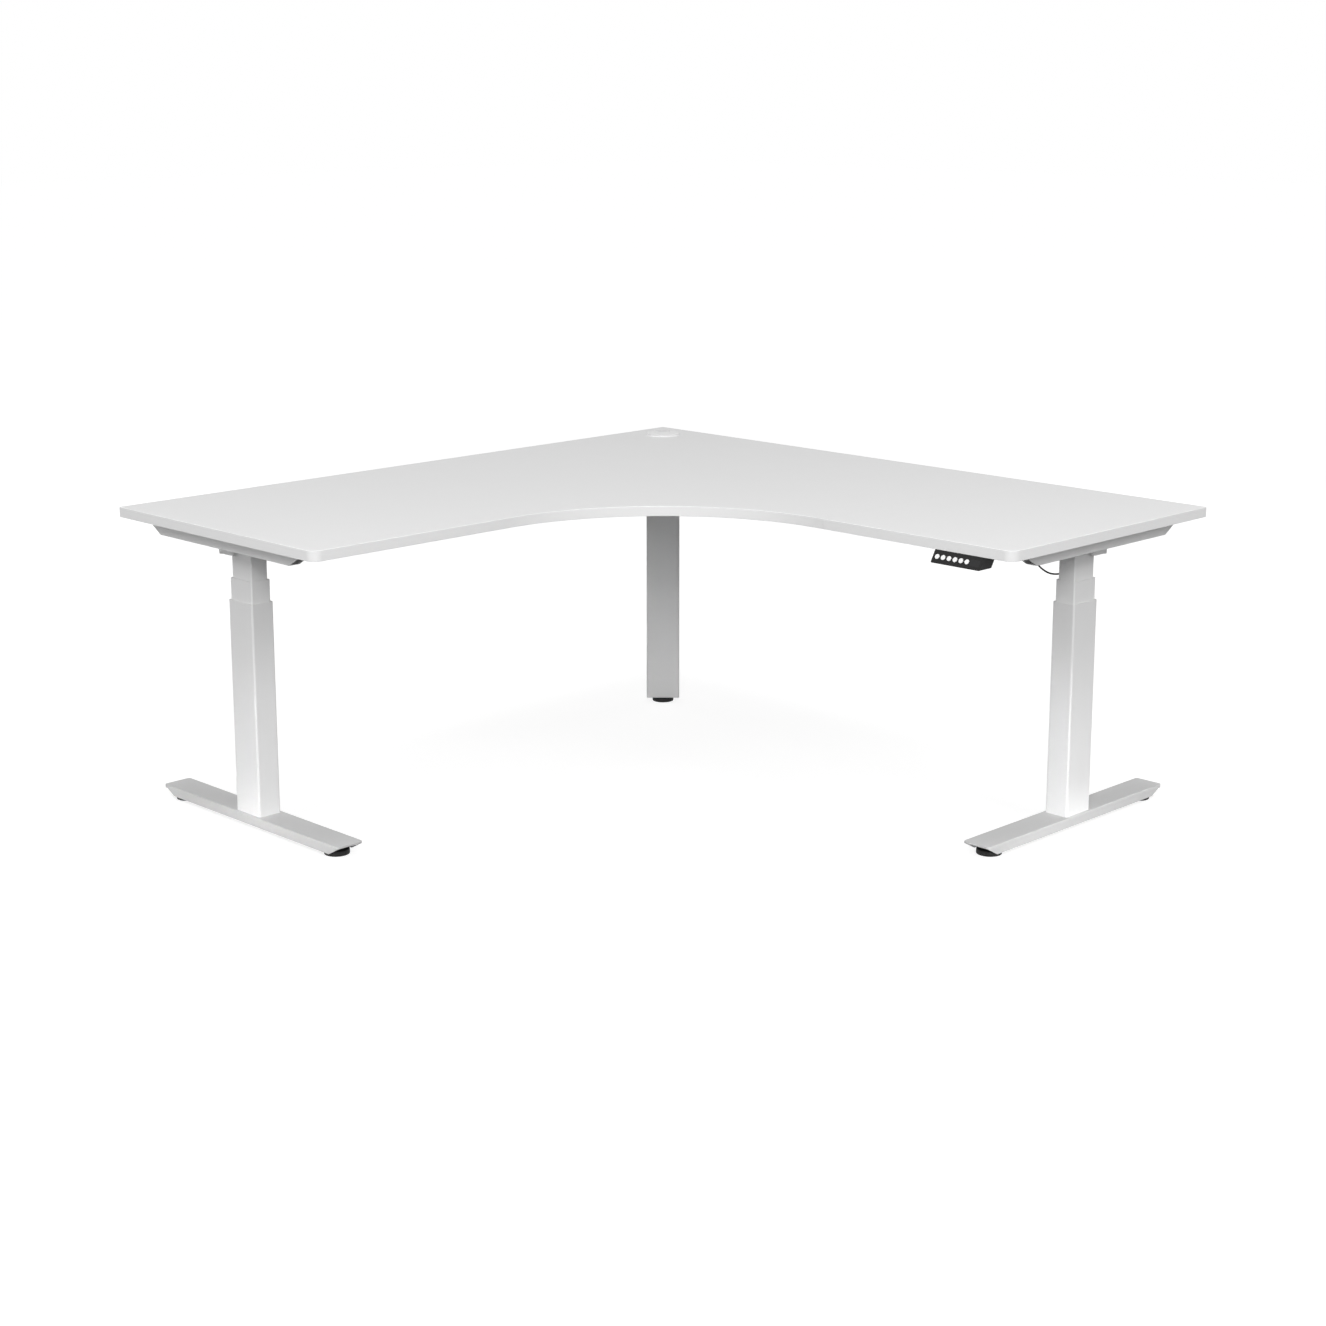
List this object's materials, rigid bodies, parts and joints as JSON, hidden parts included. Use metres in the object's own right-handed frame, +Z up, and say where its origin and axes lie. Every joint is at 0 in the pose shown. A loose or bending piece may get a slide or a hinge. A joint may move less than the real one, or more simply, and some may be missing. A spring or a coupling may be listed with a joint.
{
  "type": "corner standing desk",
  "caption": "Corner sit-stand desk: L-shaped top with a rounded inner edge, telescopic lifting columns, T-feet at the wing ends, push-button handset and a capped cable port.",
  "frame": {"origin": "on the floor, below the middle of the worktop's 1800 mm square plan", "axes": "+Z up; +X along the right wing, away from the back corner; +Y towards the wall behind the right wing, so the left wing runs along -Y and the back corner is at -X +Y"},
  "size_m": [1.8, 1.8, 0.7182],
  "materials": {
    "board": "white melamine on chipboard, satin",
    "edge_band": "white plastic edge band, satin",
    "white_steel": "white powder coat, satin",
    "bare_steel": "zinc plated",
    "cast_case": "die cast, unpainted",
    "motor_steel": "black paint",
    "glide": "low friction plastic",
    "dowel": "beech, bare",
    "port": "white moulded",
    "port_cap": "white moulded, matte",
    "rubber_black": "black",
    "pad_black": "black moulded",
    "box_black": "black, fine texture",
    "display_black": "dark window, switched off",
    "button_white": "white, flat",
    "lead_black": "black sheath"
  },
  "bodies": {
    "base": {"outer_tube_right": "white_steel", "outer_tube_left": "white_steel", "outer_tube_rear": "white_steel", "mouth_glides": "glide", "base_screws": "bare_steel", "foot_right": "white_steel", "foot_left": "white_steel", "rear_foot": "white_steel", "foot_bolts": "bare_steel"},
    "top": {"worktop_corner": "board", "worktop_extension": "board", "edge_bands": "edge_band", "inner_tube_right": "white_steel", "inner_tube_left": "white_steel", "inner_tube_rear": "white_steel", "head_plate_right": "white_steel", "head_plate_left": "white_steel", "head_plate_rear": "white_steel", "side_bracket_right": "white_steel", "side_bracket_left": "white_steel", "crossbeams": "white_steel", "crossbeam_slides": "white_steel", "motor_cover_right": "white_steel", "motor_cover_left": "white_steel", "motor_cover_rear": "white_steel", "drive_tubes": "bare_steel", "frame_bolts": "bare_steel", "worktop_screws": "bare_steel", "joint_plates": "bare_steel", "gearboxes": "cast_case", "motors": "motor_steel", "inner_glides": "glide", "panel_dowels": "dowel", "cable_port_liner": "port", "rubber_strips": "rubber_black", "lead_gland": "rubber_black", "motor_lead_plug": "rubber_black", "control_box": "box_black", "handset_case": "box_black", "handset_fascia": "box_black", "handset_display": "display_black", "motor_lead": "lead_black"},
    "mid_right": {"mid_tube_right": "white_steel", "mid_spindle_right": "bare_steel"},
    "mid_left": {"mid_tube_left": "white_steel", "mid_spindle_left": "bare_steel"},
    "mid_rear": {"mid_tube_rear": "white_steel", "mid_spindle_rear": "bare_steel"},
    "port_cap": {"cable_port_cap": "port_cap"},
    "pad_right_wall": {"levelling_pad_right_wall": "pad_black"},
    "pad_right_front": {"levelling_pad_right_front": "pad_black"},
    "pad_left_wall": {"levelling_pad_left_wall": "pad_black"},
    "pad_left_front": {"levelling_pad_left_front": "pad_black"},
    "pad_rear": {"levelling_pad_rear": "pad_black"},
    "button_down": {"handset_button_down": "button_white"},
    "button_up": {"handset_button_up": "button_white"},
    "button_one": {"handset_button_one": "button_white"},
    "button_two": {"handset_button_two": "button_white"},
    "button_three": {"handset_button_three": "button_white"},
    "button_store": {"handset_button_store": "button_white"}
  },
  "joints": [
    {"name": "lift", "type": "slide", "parent": "base", "child": "top", "axis": [0, 0, 1], "range_m": [-0.1, 0.55]},
    {"name": "mid_lift_right", "type": "slide", "parent": "base", "child": "mid_right", "axis": [0, 0, 1], "range_m": [-0.05, 0.275]},
    {"name": "mid_lift_left", "type": "slide", "parent": "base", "child": "mid_left", "axis": [0, 0, 1], "range_m": [-0.05, 0.275]},
    {"name": "mid_lift_rear", "type": "slide", "parent": "base", "child": "mid_rear", "axis": [0, 0, 1], "range_m": [-0.05, 0.275]},
    {"name": "port_cap_turn", "type": "hinge", "parent": "top", "child": "port_cap", "pos_m": [-0.792, 0.792, 0.715], "axis": [0, 0, 1], "continuous": true},
    {"name": "pad_turn_right_wall", "type": "hinge", "parent": "base", "child": "pad_right_wall", "pos_m": [0.8, 0.812, 0.012], "axis": [0, 0, 1], "continuous": true},
    {"name": "pad_turn_right_front", "type": "hinge", "parent": "base", "child": "pad_right_front", "pos_m": [0.8, 0.23, 0.012], "axis": [0, 0, 1], "continuous": true},
    {"name": "pad_turn_left_wall", "type": "hinge", "parent": "base", "child": "pad_left_wall", "pos_m": [-0.812, -0.8, 0.012], "axis": [0, 0, 1], "continuous": true},
    {"name": "pad_turn_left_front", "type": "hinge", "parent": "base", "child": "pad_left_front", "pos_m": [-0.23, -0.8, 0.012], "axis": [0, 0, 1], "continuous": true},
    {"name": "pad_turn_rear", "type": "hinge", "parent": "base", "child": "pad_rear", "pos_m": [-0.644, 0.644, 0.012], "axis": [0, 0, 1], "continuous": true},
    {"name": "button_press_down", "type": "slide", "parent": "top", "child": "button_down", "axis": [0, 0.8603, -0.5098], "range_m": [0, 0.0008], "stiffness_N_per_m": 1500, "springref_m": -0.0004},
    {"name": "button_press_up", "type": "slide", "parent": "top", "child": "button_up", "axis": [0, 0.8603, -0.5098], "range_m": [0, 0.0008], "stiffness_N_per_m": 1500, "springref_m": -0.0004},
    {"name": "button_press_one", "type": "slide", "parent": "top", "child": "button_one", "axis": [0, 0.8603, -0.5098], "range_m": [0, 0.0008], "stiffness_N_per_m": 1500, "springref_m": -0.0004},
    {"name": "button_press_two", "type": "slide", "parent": "top", "child": "button_two", "axis": [0, 0.8603, -0.5098], "range_m": [0, 0.0008], "stiffness_N_per_m": 1500, "springref_m": -0.0004},
    {"name": "button_press_three", "type": "slide", "parent": "top", "child": "button_three", "axis": [0, 0.8603, -0.5098], "range_m": [0, 0.0008], "stiffness_N_per_m": 1500, "springref_m": -0.0004},
    {"name": "button_press_store", "type": "slide", "parent": "top", "child": "button_store", "axis": [0, 0.8603, -0.5098], "range_m": [0, 0.0008], "stiffness_N_per_m": 1500, "springref_m": -0.0004}
  ],
  "couplings": [
    {"joint": "mid_lift_right", "follows": "lift", "ratio": 0.5},
    {"joint": "mid_lift_left", "follows": "lift", "ratio": 0.5},
    {"joint": "mid_lift_rear", "follows": "lift", "ratio": 0.5}
  ]
}
